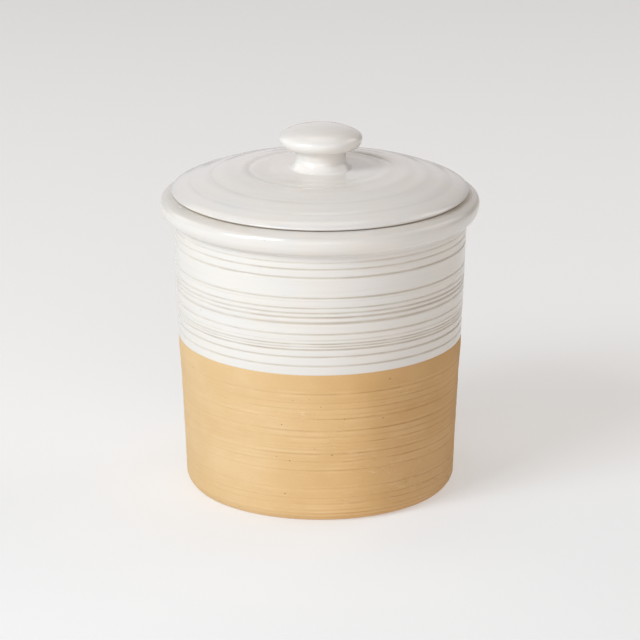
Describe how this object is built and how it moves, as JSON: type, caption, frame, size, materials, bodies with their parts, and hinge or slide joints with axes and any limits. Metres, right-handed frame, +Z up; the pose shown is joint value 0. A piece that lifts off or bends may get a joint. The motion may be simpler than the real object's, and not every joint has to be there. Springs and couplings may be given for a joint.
{
  "type": "garlic keeper",
  "caption": "Round stoneware garlic keeper: a jar with a bare clay lower half, a ringed white glazed upper band and a rolled rim, and a domed lid with a knob that lifts off.",
  "frame": {"origin": "middle of the ring that the jar stands on, on the table plane", "axes": "+Z up along the jar's own axis; the jar is round, so X and Y are free, and -Y is the side that faced the viewer"},
  "size_m": [0.14, 0.14, 0.1626],
  "materials": {
    "bare_clay": "matt unglazed stoneware with fine throwing rings and iron specks",
    "white_glaze": "semi-gloss warm white glaze that breaks tan on the rings"
  },
  "bodies": {
    "jar": {"jar_body": "bare_clay", "band_glaze": "white_glaze", "liner_glaze": "white_glaze"},
    "lid": {"lid_disc": "bare_clay", "lid_knob": "bare_clay", "lid_glaze": "white_glaze"}
  },
  "joints": [
    {"name": "lid_lift", "type": "slide", "parent": "jar", "child": "lid", "axis": [0, 0, 1], "range_m": [0, 0.12]}
  ]
}
